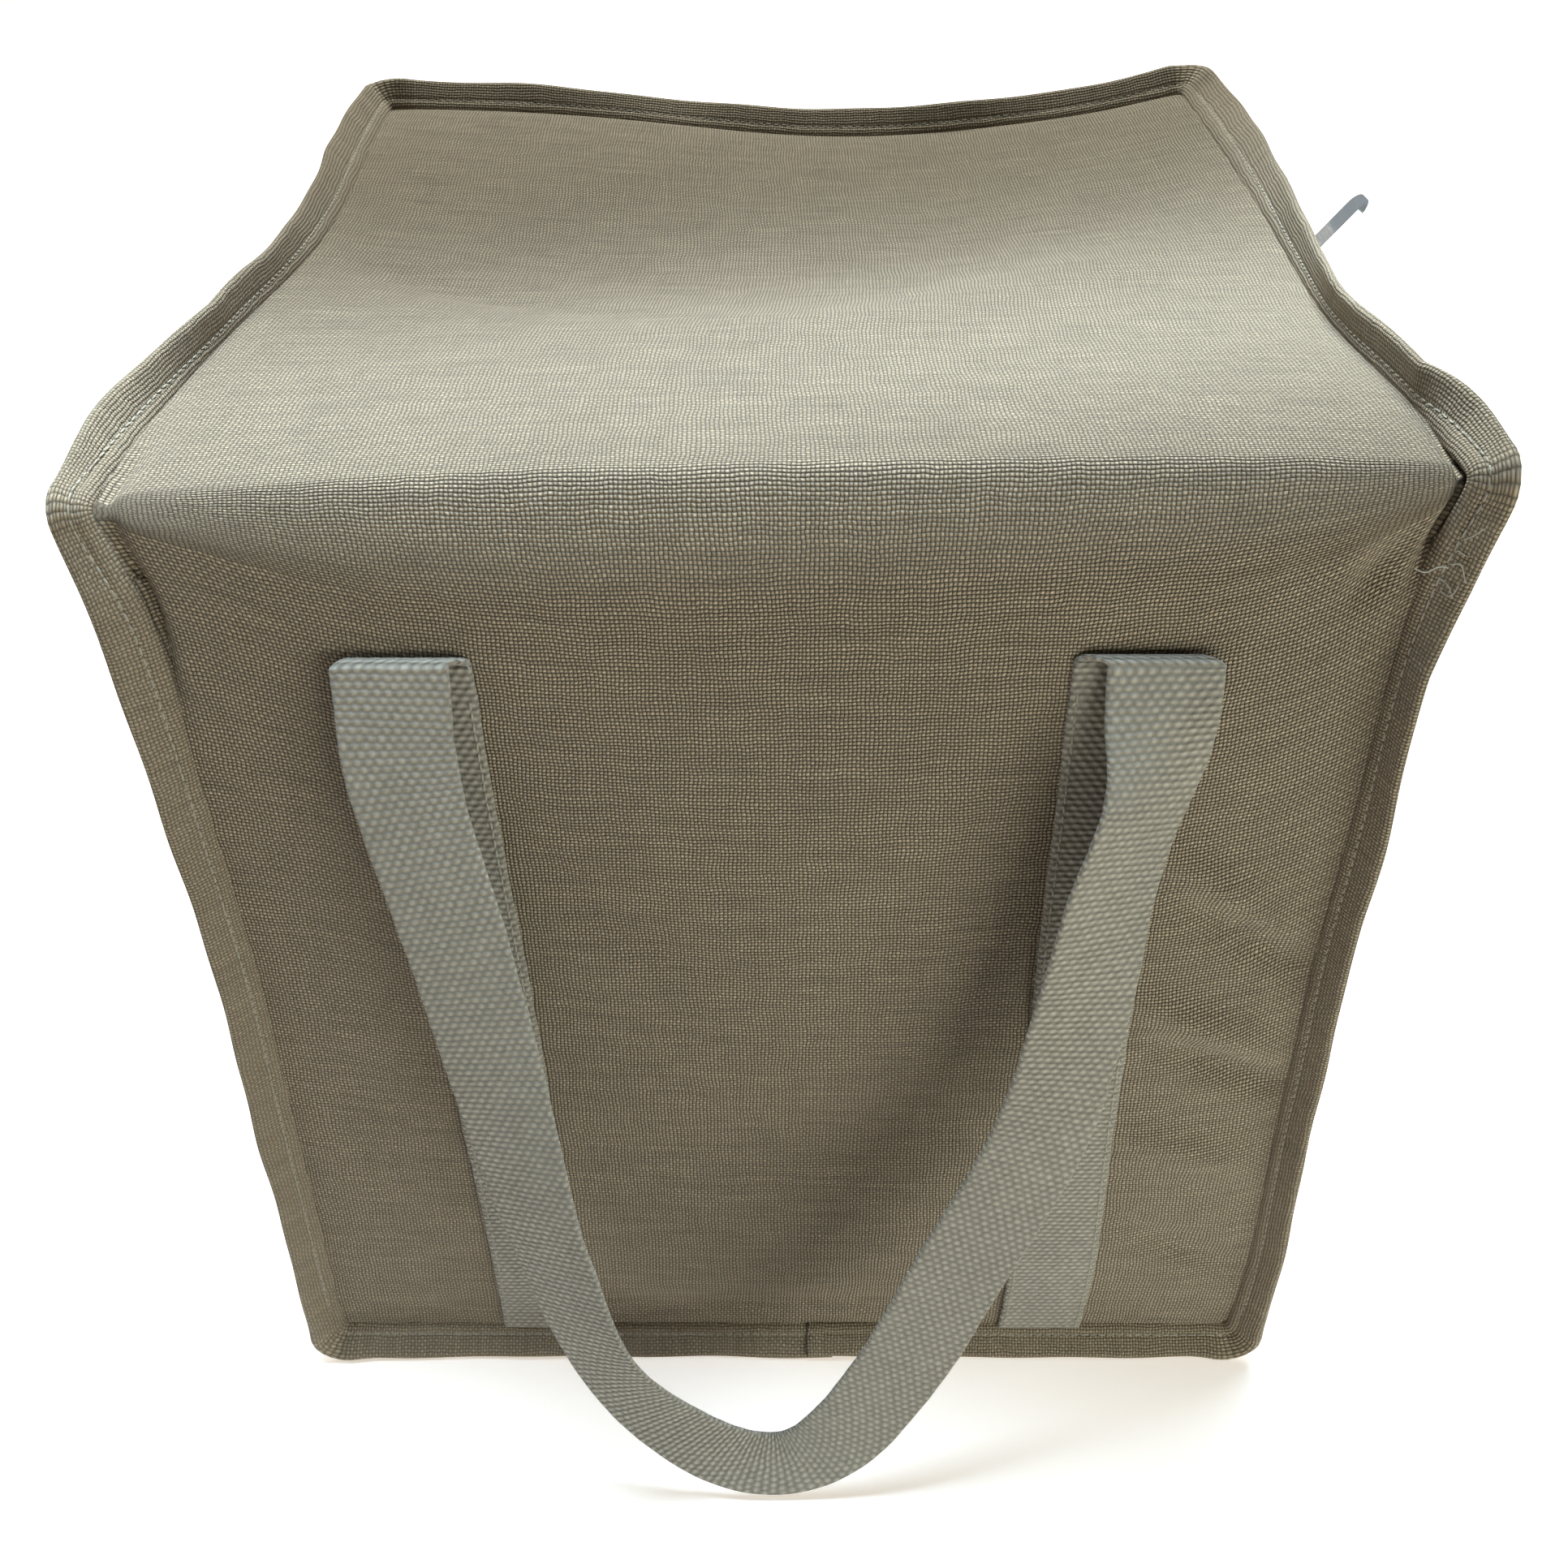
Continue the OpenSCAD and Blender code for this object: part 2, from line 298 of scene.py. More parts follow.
# ---------------------------------------------------------------- materials
class Net:
    """A small helper for writing shader node graphs."""

    def __init__(self, name):
        self.material = bpy.data.materials.new(name)
        self.material.use_nodes = True
        self.tree = self.material.node_tree
        self.shader = self.tree.nodes["Principled BSDF"]

    def put(self, kind, inputs=(), out=0, **props):
        n = self.tree.nodes.new(kind)
        for k, v in props.items():
            setattr(n, k, v)
        for k, v in dict(inputs).items():
            if isinstance(v, bpy.types.NodeSocket):
                self.tree.links.new(v, n.inputs[k])
            else:
                n.inputs[k].default_value = v
        return n.outputs[out]

    def math(self, op, a, b=0.0, c=0.0, clamp=False):
        return self.put("ShaderNodeMath", {0: a, 1: b, 2: c}, operation=op, use_clamp=clamp)

    def mix(self, factor, a, b):
        return self.put("ShaderNodeMix", {0: factor, 6: a, 7: b}, out=2, data_type="RGBA")

    def noise(self, vector, scale, detail=2.0, rough=0.5, out=0):
        return self.put("ShaderNodeTexNoise", {"Vector": vector, "Scale": scale, "Detail": detail,
                                               "Roughness": rough}, out=out)

    def swing(self, vector, scale, detail, rough):
        """Noise that swings about 0."""
        return self.math("SUBTRACT", self.noise(vector, scale, detail, rough), 0.5)

    def ramp(self, value, low, high, to_low, to_high):
        return self.put("ShaderNodeMapRange", {0: value, 1: low, 2: high, 3: to_low, 4: to_high})

    def yarns(self, uv, scale, detail, wander, pitch_u, pitch_v):
        """Two coordinates counted in yarns; wander, in metres, takes them off their straight lines."""
        drift = self.noise(uv, scale, detail, 0.6, out=1)
        shift = self.put("ShaderNodeVectorMath", {0: drift, 1: (0.5, 0.5, 0.5)}, operation="SUBTRACT")
        shift = self.put("ShaderNodeVectorMath", {0: shift, "Scale": wander}, operation="SCALE")
        place = self.put("ShaderNodeVectorMath", {0: uv, 1: shift}, operation="ADD")
        axes = self.put("ShaderNodeSeparateXYZ", {0: place})
        return self.math("DIVIDE", axes, pitch_u), self.math("DIVIDE", axes.node.outputs[1], pitch_v)

    def shaded(self, colour, value):
        """A colour times a value."""
        grey = self.put("ShaderNodeCombineColor", {0: value, 1: value, 2: value})
        return self.put("ShaderNodeMix", {0: 1.0, 6: tint(colour, 1.0), 7: grey}, out=2, data_type="RGBA",
                        blend_type="MULTIPLY")

    def set(self, **values):
        for k, v in values.items():
            key = k.replace("_", " ")
            if isinstance(v, bpy.types.NodeSocket):
                self.tree.links.new(v, self.shader.inputs[key])
            else:
                self.shader.inputs[key].default_value = v
        return self.material


def tint(colour, share):
    return tuple(min(1.0, c * share) for c in colour[:3]) + (1.0,)


def woven(name, colour, pitch_u, pitch_v, relief, streak, gap_shade, warp_dark=0.90):
    """Plain-woven cloth: yarns crossing over and under, uneven in tone and thickness, with painted shade in
    the hollows between them.
    """
    net = Net(name)
    uv = net.put("ShaderNodeUVMap", uv_map="weave")
    u, v = net.yarns(uv, 55.0, 3.0, 0.0028, pitch_u, pitch_v)
    iu, iv = net.math("FLOOR", u), net.math("FLOOR", v)
    fu = net.math("SUBTRACT", net.math("SUBTRACT", u, iu), 0.5)
    fv = net.math("SUBTRACT", net.math("SUBTRACT", v, iv), 0.5)
    over = net.math("FLOORED_MODULO", net.math("ADD", iu, iv), 2.0)
    cos_u = net.math("COSINE", net.math("MULTIPLY", fu, math.pi))
    cos_v = net.math("COSINE", net.math("MULTIPLY", fv, math.pi))
    warp = net.math("MULTIPLY", net.math("POWER", cos_u, 0.55), net.math("MULTIPLY_ADD", cos_v, 0.55, 0.45))
    weft = net.math("MULTIPLY", net.math("POWER", cos_v, 0.55), net.math("MULTIPLY_ADD", cos_u, 0.55, 0.45))
    height = net.math("ADD", net.math("MULTIPLY", warp, over),
                      net.math("MULTIPLY", weft, net.math("SUBTRACT", 1.0, over)))
    # every yarn has its own tone, and it changes slowly along its length
    weft_at = net.put("ShaderNodeCombineXYZ", {0: net.math("MULTIPLY", u, 0.045), 1: iv})
    warp_at = net.put("ShaderNodeCombineXYZ", {0: iu, 1: net.math("MULTIPLY", v, 0.045), 2: 40.0})
    weft_tone = net.swing(weft_at, 1.0, 2.0, 0.6)
    warp_tone = net.swing(warp_at, 1.0, 2.0, 0.6)
    tone = net.math("ADD", net.math("MULTIPLY", warp_tone, over),
                    net.math("MULTIPLY", weft_tone, net.math("SUBTRACT", 1.6, over)))
    # thick places that run along the weft, soft clouds and fine flecks
    slub_at = net.put("ShaderNodeCombineXYZ", {0: net.math("MULTIPLY", u, 0.03),
                                               1: net.math("MULTIPLY", v, 0.45), 2: 9.0})
    slub = net.swing(slub_at, 1.0, 3.0, 0.6)
    cloud = net.swing(uv, 14.0, 3.0, 0.55)
    fleck = net.swing(uv, 900.0, 2.0, 0.6)
    value = net.math("MULTIPLY_ADD", tone, 2.0 * streak, 1.0)
    for part, share in ((cloud, 0.10), (slub, 1.6 * streak), (fleck, 0.16)):
        value = net.math("ADD", value, net.math("MULTIPLY", part, share))
    value = net.math("MULTIPLY", value, net.math("MULTIPLY_ADD", over, warp_dark - 1.0, 1.0))
    # painted shade: the colour is darkened where the yarns dip, in the hollows between them
    value = net.math("MULTIPLY", value, net.ramp(height, 0.18, 0.9, gap_shade, 1.0))
    fibre = net.math("MULTIPLY", net.noise(uv, 2600.0, 1.0), 0.22)
    normal = net.put("ShaderNodeBump", {"Strength": 0.9, "Distance": relief * MM,
                                        "Height": net.math("ADD", height, fibre)})
    return net.set(Base_Color=net.shaded(colour, value), Roughness=0.92, Normal=normal, Sheen_Weight=0.12,
                   Sheen_Roughness=0.6, Specular_IOR_Level=0.2)


def webbing(name, colour, pitch_u, pitch_v, relief):
    """Coarse warp-faced webbing: round, staggered floats, with painted light on their tops and painted shade
    in the hollows between them.
    """
    net = Net(name)
    uv = net.put("ShaderNodeUVMap", uv_map="weave")
    u, v = net.yarns(uv, 120.0, 2.0, 0.0011, pitch_u, pitch_v)
    lobes = net.math("MULTIPLY", net.math("COSINE", net.math("MULTIPLY", u, math.pi)),
                     net.math("COSINE", net.math("MULTIPLY", v, math.pi)))
    soft = net.math("MULTIPLY_ADD", lobes, 0.5, 0.5, clamp=True)
    strand = net.put("ShaderNodeCombineXYZ", {0: net.math("FLOOR", net.math("ADD", u, 0.5)),
                                              1: net.math("FLOOR", net.math("ADD", v, 0.5))})
    tone = net.put("ShaderNodeTexWhiteNoise", {0: strand})
    cloud = net.noise(uv, 26.0, 3.0, 0.6)
    fibre = net.noise(net.put("ShaderNodeMapping", {0: uv, 3: (3200.0, 900.0, 1.0)}), 1.0, 2.0)
    rib = net.math("MULTIPLY_ADD", net.math("COSINE", net.math("MULTIPLY", v, 2 * math.pi)), 0.22, 0.22)
    weave = net.math("MULTIPLY_ADD", soft, 0.56, rib)
    # painted light and shade: the colour follows the relief, lighter on the floats and darker in the hollows
    value = net.ramp(weave, 0.2, 0.85, 0.60, 1.10)
    value = net.math("MULTIPLY", value, net.ramp(tone, 0.0, 1.0, 0.90, 1.08))
    value = net.math("MULTIPLY", value, net.ramp(cloud, 0.25, 0.75, 0.92, 1.07))
    normal = net.put("ShaderNodeBump", {"Strength": 1.0, "Distance": relief * MM,
                                        "Height": net.math("MULTIPLY_ADD", fibre, 0.16, weave)})
    return net.set(Base_Color=net.shaded(colour, value), Roughness=0.85, Normal=normal, Sheen_Weight=0.2,
                   Sheen_Roughness=0.5, Specular_IOR_Level=0.25)


def chrome():
    net = Net("zip_metal")
    at = net.put("ShaderNodeTexCoord", out=3)
    scratch = net.put("ShaderNodeMapping", {0: at, 3: (200.0, 2600.0, 900.0)})
    fine = net.noise(scratch, 1.0, 3.0, 0.7)
    cloud = net.noise(at, 260.0, 3.0, 0.6)
    normal = net.put("ShaderNodeBump", {"Strength": 0.12, "Distance": 0.00006, "Height": fine})
    rough = net.ramp(cloud, 0.3, 0.75, 0.07, 0.24)
    colour = net.mix(net.ramp(cloud, 0.35, 0.8, 0.0, 1.0), (0.86, 0.87, 0.89, 1), (0.70, 0.70, 0.71, 1))
    return net.set(Base_Color=colour, Metallic=0.8, Roughness=rough, Normal=normal, Coat_Weight=0.6)


def thread_material(name, colour):
    net = Net(name)
    uv = net.put("ShaderNodeUVMap", uv_map="weave")
    twist = net.put("ShaderNodeTexWave", {"Vector": uv, "Scale": 420.0, "Distortion": 0.6}, out=1,
                    bands_direction="DIAGONAL")
    tone = net.noise(uv, 300.0, 2.0)
    base = net.mix(net.ramp(tone, 0.3, 0.7, 0.0, 1.0), tint(colour, 1.12), tint(colour, 0.86))
    normal = net.put("ShaderNodeBump", {"Strength": 0.7, "Distance": 0.00012, "Height": twist})
    return net.set(Base_Color=base, Roughness=0.7, Normal=normal, Sheen_Weight=0.15)


def floor_material():
    net = Net("floor")
    at = net.put("ShaderNodeTexCoord", out=3)
    cloud = net.noise(at, 1.4, 2.0)
    grain = net.noise(at, 180.0, 2.0)
    base = net.mix(net.ramp(cloud, 0.3, 0.7, 0.0, 1.0), (0.80, 0.80, 0.795, 1), (0.83, 0.83, 0.825, 1))
    normal = net.put("ShaderNodeBump", {"Strength": 0.04, "Distance": 0.0005, "Height": grain})
    return net.set(Base_Color=base, Roughness=0.75, Normal=normal, Emission_Color=(1.0, 0.90, 0.79, 1),
                   Emission_Strength=0.56)


CANVAS = (0.358, 0.286, 0.193)
LOOKS = dict(                             # name, colour, two pitches of the yarns in metres, relief in mm
    canvas=woven("canvas", tint(CANVAS, 1.38), 0.0011, 0.0011, 1.1, streak=0.34, gap_shade=0.16, warp_dark=0.74),
    binding=woven("binding", tint(CANVAS, 1.12), 0.0011, 0.00105, 0.6, streak=0.26, gap_shade=0.34, warp_dark=0.8),
    webbing=webbing("webbing", (0.352, 0.325, 0.268), 0.00145, 0.0021, 0.85),
    lining=woven("lining", (0.38, 0.355, 0.30), 0.0006, 0.0006, 0.06, streak=0.05, gap_shade=0.85),
    tape=woven("zip_tape", (0.29, 0.265, 0.215), 0.0005, 0.0006, 0.1, streak=0.06, gap_shade=0.7),
    coil=thread_material("zip_coil", (0.26, 0.24, 0.195)),
    thread=thread_material("thread", (0.35, 0.32, 0.255)),
    metal=chrome(),
)


# ---------------------------------------------------------------- camera, floor and light
def add_camera():
    yaw, look_down, roll = 0.224, 38.14, -0.125
    data = bpy.data.cameras.new("camera")
    data.sensor_width, data.lens = 36.0, 36.152
    data.clip_start, data.clip_end = 0.02, 50.0
    cam = bpy.data.objects.new("camera", data)
    cam.location = (0.00188, -0.49841, 0.52130)
    turns = ((yaw, "Z"), (90 - look_down, "X"), (roll, "Z"))
    first, second, third = (Matrix.Rotation(math.radians(angle), 3, axis) for angle, axis in turns)
    cam.rotation_euler = (first @ second @ third).to_euler()
    bpy.context.scene.collection.objects.link(cam)
    bpy.context.scene.camera = cam


def add_floor():
    bpy.ops.mesh.primitive_plane_add(size=14, location=(0, 0, 0))
    floor = bpy.context.object
    floor.name = "floor"
    floor.data.materials.append(floor_material())


def add_area(name, at, aim, size, power, colour, spin=0.0, spread=180.0):
    """A rectangular soft light; spin turns it about its axis, spread narrows its beam, in degrees."""
    data = bpy.data.lights.new(name, "AREA")
    data.shape, data.size, data.size_y = "RECTANGLE", size[0], size[1]
    data.energy, data.color, data.spread = power, colour, math.radians(spread)
    lamp = bpy.data.objects.new(name, data)
    away = Matrix.Translation(at).inverted() @ Matrix.Translation(aim)
    turn = away.to_translation().to_track_quat("-Z", "Y").to_matrix().to_4x4()
    lamp.matrix_world = Matrix.Translation(at) @ turn @ Matrix.Rotation(math.radians(spin), 4, "Z")
    lamp.visible_camera = False
    bpy.context.scene.collection.objects.link(lamp)


def add_light():
    world = bpy.data.worlds.new("studio")
    world.use_nodes = True
    background = world.node_tree.nodes["Background"]
    background.inputs["Color"].default_value = (1.0, 0.75, 0.5, 1)
    background.inputs["Strength"].default_value = 0.03
    bpy.context.scene.world = world
    add_area("strip", (0.07, -0.088, 0.80), (0.07, -0.083, 0.0), (0.80, 0.14), 1.3, (0.70, 0.86, 1.0),
             spin=14, spread=40)
    add_area("behind", (0.0, 1.0, 1.5), (0.0, 0.1, 0.3), (1.2, 0.8), 39.0, (0.93, 1.0, 0.97))
    add_area("backdrop", (0.0, 1.3, 1.7), (0.0, 2.6, 0.0), (2.4, 0.6), 36.0, (1.0, 1.0, 1.0))
    add_area("right", (0.48, -0.66, 0.16), (0.03, -0.1, 0.12), (0.56, 0.30), 2.75, (0.93, 1.0, 0.90))
    bpy.context.scene.view_settings.view_transform = "Standard"


# ---------------------------------------------------------------- the cover: front panel and lid in one cloth
def fold_size(x):
    """Half axes of the fold's quarter ellipse: tight at the side seams, wide and soft in the middle."""
    inner = 1 - np.clip(np.abs(x) / HX, 0, 1) ** 8
    lazy = 1 - np.clip(np.abs(x - 20) / 185, 0, 1) ** 3
    return FOLD_R + 9 * lazy * inner, FOLD_R + 29 * lazy * inner


def cover_grid(x, inset, shrink):
    """Points over the front and lid at each x; inset moves them inwards from the outer surface."""
    ry, rz = fold_size(x)
    level = 0 * x
    rows, facing = [], []
    for share in np.linspace(0, 1, 112):
        rows.append([x, level - HY, SEAM_Z + share * (HZ - rz - SEAM_Z)])
        facing.append([level, level - 1, level])
    for a in np.linspace(0, math.pi / 2, 30)[1:]:
        rows.append([x, -HY + ry * (1 - math.cos(a)), HZ - rz + rz * math.sin(a)])
        facing.append([level, level - math.cos(a), level + math.sin(a)])
    for share in np.linspace(0, 1, 106)[1:]:
        rows.append([x, -HY + ry + share * (2 * HY - ry), level + HZ])
        facing.append([level, level, level + 1])
    flat = np.array(rows).transpose(0, 2, 1)
    normal = unit(np.array(facing).transpose(0, 2, 1))
    flat_x, flat_y, flat_z = np.moveaxis(flat, -1, 0)
    merging, last_front_z, back_rim = 45, HZ - 6, 40
    on_lid = smooth(flat_y, -HY, -HY + merging)
    lift = (front_relief(flat_x, np.minimum(flat_z, last_front_z)) * (1 - on_lid)
            + lid_relief(flat_x, flat_y) * on_lid)
    moved = flat + normal * (lift[..., None] - inset)
    if shrink:
        moved[..., 0] *= (HX - WALL_T) / HX
        moved[..., 1] -= smooth(moved[..., 1], HY - back_rim, HY) * WALL_T
    return form(moved), flat


def blend_at_fold(piece):
    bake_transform(piece)


def add_cover():
    even = np.linspace(-1, 1, 140)
    x = HX * (0.45 * even + 0.55 * np.sin(even * math.pi / 2))
    outer, flat = cover_grid(x, 0, False)
    inner, _ = cover_grid(x, WALL_T, True)
    v = distances(flat[:, len(x) // 2]) * MM
    shell = Shell()
    shell.slab(outer, inner, x * MM, v)
    cover = shell.build("cover", LOOKS["canvas"], LOOKS["lining"])
    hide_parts("front_panel", "front_foam", "front_lining", "lid_panel", "lid_foam", "lid_lining")
    blend_at_fold(cover)


# ---------------------------------------------------------------- side, back and base panels
def add_wall(name, across, half, outwards, flip, *nodes):
    """across(s) and outwards give the wall's line in plan and the way it faces."""
    s = np.linspace(-half, half, 96)
    z = np.linspace(SEAM_Z, WALL_TOP, 100)
    grid_s, grid_z = np.meshgrid(s, z)
    lift = wall_relief(grid_s, grid_z, half, flip)[..., None]
    out = np.array(outwards, float)
    outer = np.stack([*across(grid_s), grid_z], -1) + out * lift
    inner = np.stack([*across(grid_s * (half - WALL_T) / half), grid_z], -1) + out * (lift - WALL_T)
    shell = Shell()
    shell.slab(form(outer), form(inner), s * MM, z * MM)
    wall = shell.build(name, LOOKS["canvas"], LOOKS["lining"])
    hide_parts(*nodes)
    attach(wall, "bin")


def add_walls():
    add_wall("left_wall", lambda s: (0 * s - HX, s), HY, (-1, 0, 0), 1,
             "left_panel", "left_foam", "left_lining")
    add_wall("right_wall", lambda s: (0 * s + HX, s), HY, (1, 0, 0), -1,
             "right_panel", "right_foam", "right_lining")
    add_wall("back_wall", lambda s: (s, 0 * s + HY), HX, (0, 1, 0), 1,
             "back_panel", "back_foam", "back_lining")


def add_base():
    x, y = np.linspace(-HX, HX, 90), np.linspace(-HY, HY, 94)
    gx, gy = np.meshgrid(x, y)
    clear = 0.5
    rim = np.exp(-np.minimum(HX - np.abs(gx), HY - np.abs(gy)) / 7)
    under = clear + (SEAM_Z - clear) * rim
    wave = 0.5 + 0.5 * np.sin(gx / 31) * np.cos(gy / 37)
    top = under + WALL_T + 0.8 * wave * (1 - rim)
    shell = Shell()
    inner = np.stack([gx * (HX - WALL_T) / HX, gy * (HY - WALL_T) / HY, top], -1)
    shell.slab(form(np.stack([gx, gy, under], -1)), form(inner), x * MM, y * MM)
    base = shell.build("base", LOOKS["canvas"], LOOKS["lining"])
    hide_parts("base_panel", "base_board", "base_lining")
    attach(base, "bin")


# ---------------------------------------------------------------- bindings
def fin_section():
    """Outline of the folded tape, out and up: seam ridge, stitch valley, flat, fold, and back below."""
    out = np.array([-2.2, -0.6, 0.6, 1.7, 2.6, 3.1, 3.7, 4.8, 6.6, 8.4, 9.7, 10.6, 11.2, FIN_W])
    up = np.array([0.7, 1.25, 1.5, 1.5, 1.25, 0.85, 1.05, 1.2, 1.15, 1.2, 1.25, 1.05, 0.62, 0.0])
    return np.r_[out, out[-2::-1]], np.r_[up, -up[-2::-1]]


def around(x, y):
    """Distance round a closed outline, back to its first point."""
    return np.r_[0, np.cumsum(np.hypot(np.diff(np.r_[x, x[0]]), np.diff(np.r_[y, y[0]])))]


def corner(points, radius, steps=7):
    """Rounds the corners of a run of (point, direction) pairs; radius is one number or one per point."""
    run = np.array([[*p, *d] for p, d in points], float)
    radii = np.broadcast_to(radius, len(run))
    t = np.linspace(0, 1, steps)[:, None]
    done = [run[:1]]
    for before, here, after, r in zip(run, run[1:], run[2:], radii[1:]):
        start, end = (here + (to - here) * r / np.linalg.norm((to - here)[:3]) for to in (before, after))
        turn = (1 - t) ** 2 * start + 2 * t * (1 - t) * here + t * t * end
        done.append(turn if r > 0 else here[None])
    return [(row[:3], row[3:]) for row in np.vstack([*done, run[-1:]])]


def sweep_fin(run, step=2.0, widths=None, mitres=(), raised=(), seed=0):
    """Points of a binding along a run of (nominal point, direction out).

    widths: extra width along the path; mitres: (place, length, height) of a folded corner;
    raised: (from, to, height) of an overlap."""
    path, t = resample(np.array([[*p, *unit(d)] for p, d in run], float), step)
    seam = form(path[:, :3])
    way = tangents(seam)
    out = unit(path[:, 3:6])
    out = unit(out - way * (out * way).sum(-1, keepdims=True))
    up = np.cross(way, out)
    phase = np.random.default_rng(seed).uniform(0, 6.28, 6)
    sway = (np.sin(t / 23 + phase[0]) + 0.6 * np.sin(t / 11 + phase[1]))
    width = FIN_W + 0.25 * sway + 0.2 * np.sin(t / 7 + phase[2])
    if widths is not None:
        width = width + widths(path)
    tilt = (np.radians(4) * np.sin(t / 37 + phase[3]) + np.radians(2.5) * np.sin(t / 13 + phase[4]))[:, None]
    flat_out = out * np.cos(tilt) + up * np.sin(tilt)
    flat_up = up * np.cos(tilt) - out * np.sin(tilt)
    lift = np.zeros_like(t)
    for place, length, height in mitres:
        d = t - t[np.argmin(np.linalg.norm(path[:, :3] - place, axis=1))]
        d = d * np.sign(length)
        lift = lift + np.where(d >= 0, height * (1 - smooth(d, 0.0, abs(length))), 0)
    for low, high, height in raised:
        lift = lift + height * smooth(t, low, low + 0.6) * (1 - smooth(t, high - 0.6, high))
    outline, raise_by = fin_section()
    near_stitch = np.exp(-((outline[:, None] - 3.2) / 1.2) ** 2)
    pinch = 1 - 0.10 * (np.sin(t * 2 * np.pi / STITCH_PITCH) * near_stitch).T
    reach = np.where(outline > 0, outline * (width / FIN_W)[:, None], outline)
    rise = raise_by * pinch + np.sign(raise_by) * np.where(outline > -1, 0.5, 0.2) * lift[:, None]
    pts = seam[:, None] + flat_out[:, None] * reach[..., None] + flat_up[:, None] * rise[..., None]
    return pts, around(outline, raise_by) * MM, t * MM, (seam, flat_out, flat_up, way)


def capsule_rings():
    """Rings of a stitch lying along X, its ends dipping."""
    s = np.array([-0.5, -0.44, -0.25, 0, 0.25, 0.44, 0.5]) * STITCH_LENGTH
    r = np.array([0.25, 0.8, 1, 1, 1, 0.8, 0.25]) * STITCH_R
    dip = np.array([-0.9, -0.45, -0.05, 0.1, -0.05, -0.45, -0.9]) * STITCH_R
    a = np.linspace(0, 2 * np.pi, 6, endpoint=False)
    ring = np.stack([np.zeros_like(a), np.cos(a), np.sin(a)], -1)
    pts = ring[None] * r[:, None, None]
    pts[..., 0] += s[:, None]
    pts[..., 2] += dip[:, None]
    return pts


def stitch_line(shell, at, way, up, seed):
    """Stitches along a line of points, with way and up at each of them."""
    d = distances(at)
    rng = np.random.default_rng(seed)
    base = capsule_rings()
    side = np.linspace(0, 0.002, base.shape[1] + 1)
    length = np.linspace(0, STITCH_LENGTH, len(base)) * MM
    for c in np.arange(STITCH_PITCH / 2, d[-1] - STITCH_PITCH / 2, STITCH_PITCH):
        p = at_distance(c, d, at)
        x = unit(at_distance(c, d, way))
        z = at_distance(c, d, up)
        z = unit(z - x * (z @ x))
        y = np.cross(z, x)
        skew = rng.normal(0, 0.05)
        x2, y2 = x + y * skew, y - x * skew
        pts = p + base[..., :1] * x2 + base[..., 1:2] * y2 + base[..., 2:] * z
        shell.tube(pts, side, length + c * MM, kind=THREAD)


def fin_stitches(shell, line, seed):
    """A stitch row on both faces of a binding."""
    seam, out, up, way = line
    for face in (1, -1):
        stitch_line(shell, seam + out * STITCH_ROW + up * face * 0.98, way, up * face, seed)


def cover_run():
    """The one binding round the cover's rim, from the join on the bottom edge all the way round to it."""
    low = SEAM_Z
    down_out = (0, -1, -1)
    join = 17.0
    run = [
        ((join, -HY, low), down_out),
        ((-HX + 14, -HY, low), down_out),
        ((-HX, -HY, low), (-0.8, -1, -0.8)),
        ((-HX, -HY, low + 16), (-1, -0.95, -0.1)),
        ((-HX, -HY, 180), (-1, -0.95, 0)),
        ((-HX, -HY, HZ - 60), (-1, -0.9, 0)),
        ((-HX, -HY, HZ - 20), (-1, -0.7, 0.1)),
        ((-HX, -HY, HZ), (-1, -0.45, 0.45)),
        ((-HX, -HY + 22, HZ), (-0.7, 0, 0.95)),
        ((-HX, -70, HZ), (-0.02, 0, 1.0)),
        ((-HX, 10, HZ), (-0.3, 0, 1.0)),
        ((-HX, 85, HZ), (-0.75, 0, 0.9)),
        ((-HX, HY - 12, HZ), (-1, 0, 0.9)),
        ((-HX, HY, HZ), (-0.8, 0.8, 1)),
        ((-HX + 12, HY, HZ), (0, 1, 0.9)),
        ((30, HY, HZ), (0, 1, 1.0)),
        ((HX - 12, HY, HZ), (0, 1, 0.9)),
        ((HX, HY, HZ), (0.8, 0.8, 1)),
        ((HX, HY - 12, HZ), (1, 0, 0.9)),
        ((HX, 100, HZ), (0.95, 0, 0.8)),
        ((HX, 20, HZ), (0.45, 0, 0.9)),
        ((HX, -60, HZ), (-0.1, 0, 1)),
        ((HX, -HY + 40, HZ), (-0.2, 0, 1)),
        ((HX, -HY + 14, HZ), (0.8, -0.1, 0.8)),
        ((HX, -HY, HZ), (1, -0.6, 0.5)),
        ((HX, -HY, HZ - 26), (0.9, -0.9, 0.0)),
        ((HX, -HY, HZ - 50), (0.45, -1.0, 0)),
        ((HX, -HY, 200), (0.45, -1.0, 0)),
        ((HX, -HY, 60), (0.8, -1, 0)),
        ((HX, -HY, low + 16), (1, -0.95, -0.1)),
        ((HX, -HY, low), (0.8, -1, -0.8)),
        ((HX - 14, -HY, low), down_out),
        ((join - 9.0, -HY, low), down_out),
    ]
    return corner(run, [rim_radius(*p) for p, _ in run])


def rim_radius(x, y, z):
    """Radius of the binding's turn at a point: only at the box's corners does it turn."""
    if abs(x) != HX or abs(y) != HY:
        return 0
    if z == SEAM_Z:
        return 5
    if z == HZ:
        return 4 if y > 0 else FOLD_R
    return 0


